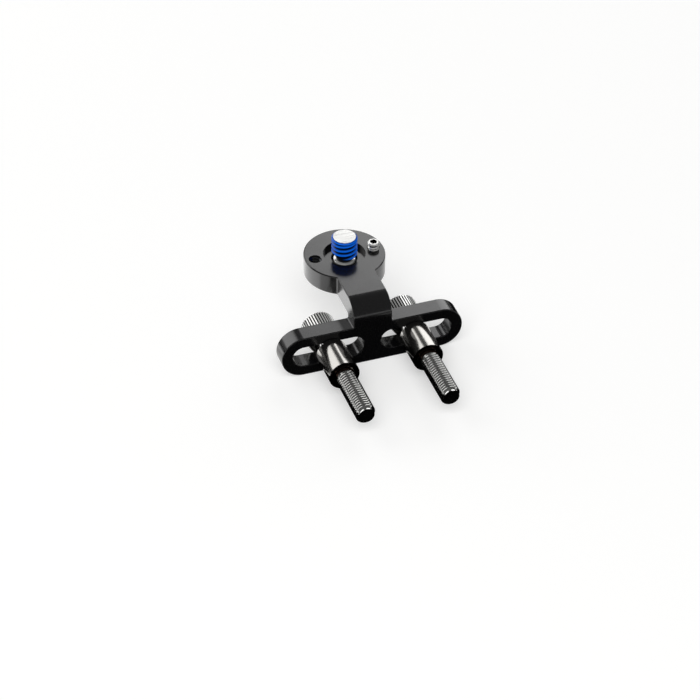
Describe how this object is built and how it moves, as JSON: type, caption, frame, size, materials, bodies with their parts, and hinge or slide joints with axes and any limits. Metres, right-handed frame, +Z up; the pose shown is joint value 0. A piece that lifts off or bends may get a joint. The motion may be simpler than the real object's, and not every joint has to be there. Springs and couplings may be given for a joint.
{
  "type": "handlebar camera mount",
  "caption": "Black slotted bracket on spacers that bolts to the front of a handlebar stem and carries a camera on a round platform with a camera screw and an anti-twist screw.",
  "frame": {"origin": "midway between the two stem bolts, in the plane where the spacers meet the stem", "axes": "+X along the slotted bar, +Y forward from the stem to the platform, +Z up along the camera screw"},
  "size_m": [0.046, 0.0566, 0.0224],
  "materials": {
    "anodised_aluminium": "satin black anodised",
    "coated_screw": "blue coat on the thread, bare bright steel elsewhere",
    "grub_steel": "bright",
    "polished_steel": "polished",
    "bolt_steel": "bright, with a straight-knurled head"
  },
  "bodies": {
    "bracket": {"bracket": "anodised_aluminium"},
    "camera_screw": {"camera_screw": "coated_screw"},
    "anti_twist_screw": {"anti_twist_screw": "grub_steel"},
    "left_spacer": {"left_spacer": "polished_steel"},
    "right_spacer": {"right_spacer": "polished_steel"},
    "left_stem_bolt": {"left_stem_bolt": "bolt_steel"},
    "right_stem_bolt": {"right_stem_bolt": "bolt_steel"}
  },
  "joints": [
    {"name": "camera_screw_turn", "type": "hinge", "parent": "bracket", "child": "camera_screw", "pos_m": [0, 0.0312, 0.0118], "axis": [0, 0, 1], "continuous": true},
    {"name": "anti_twist_travel", "type": "slide", "parent": "bracket", "child": "anti_twist_screw", "axis": [0, 0, 1], "range_m": [-0.00175, 0.0015]},
    {"name": "left_slot_slide", "type": "slide", "parent": "bracket", "child": "left_spacer", "axis": [-1, 0, 0], "range_m": [-0.0059, 0.007]},
    {"name": "right_slot_slide", "type": "slide", "parent": "bracket", "child": "right_spacer", "axis": [1, 0, 0], "range_m": [-0.0059, 0.007]},
    {"name": "left_bolt_turn", "type": "hinge", "parent": "left_spacer", "child": "left_stem_bolt", "pos_m": [-0.0106, 0, 0], "axis": [0, 1, 0], "continuous": true},
    {"name": "right_bolt_turn", "type": "hinge", "parent": "right_spacer", "child": "right_stem_bolt", "pos_m": [0.0106, 0, 0], "axis": [0, 1, 0], "continuous": true}
  ]
}
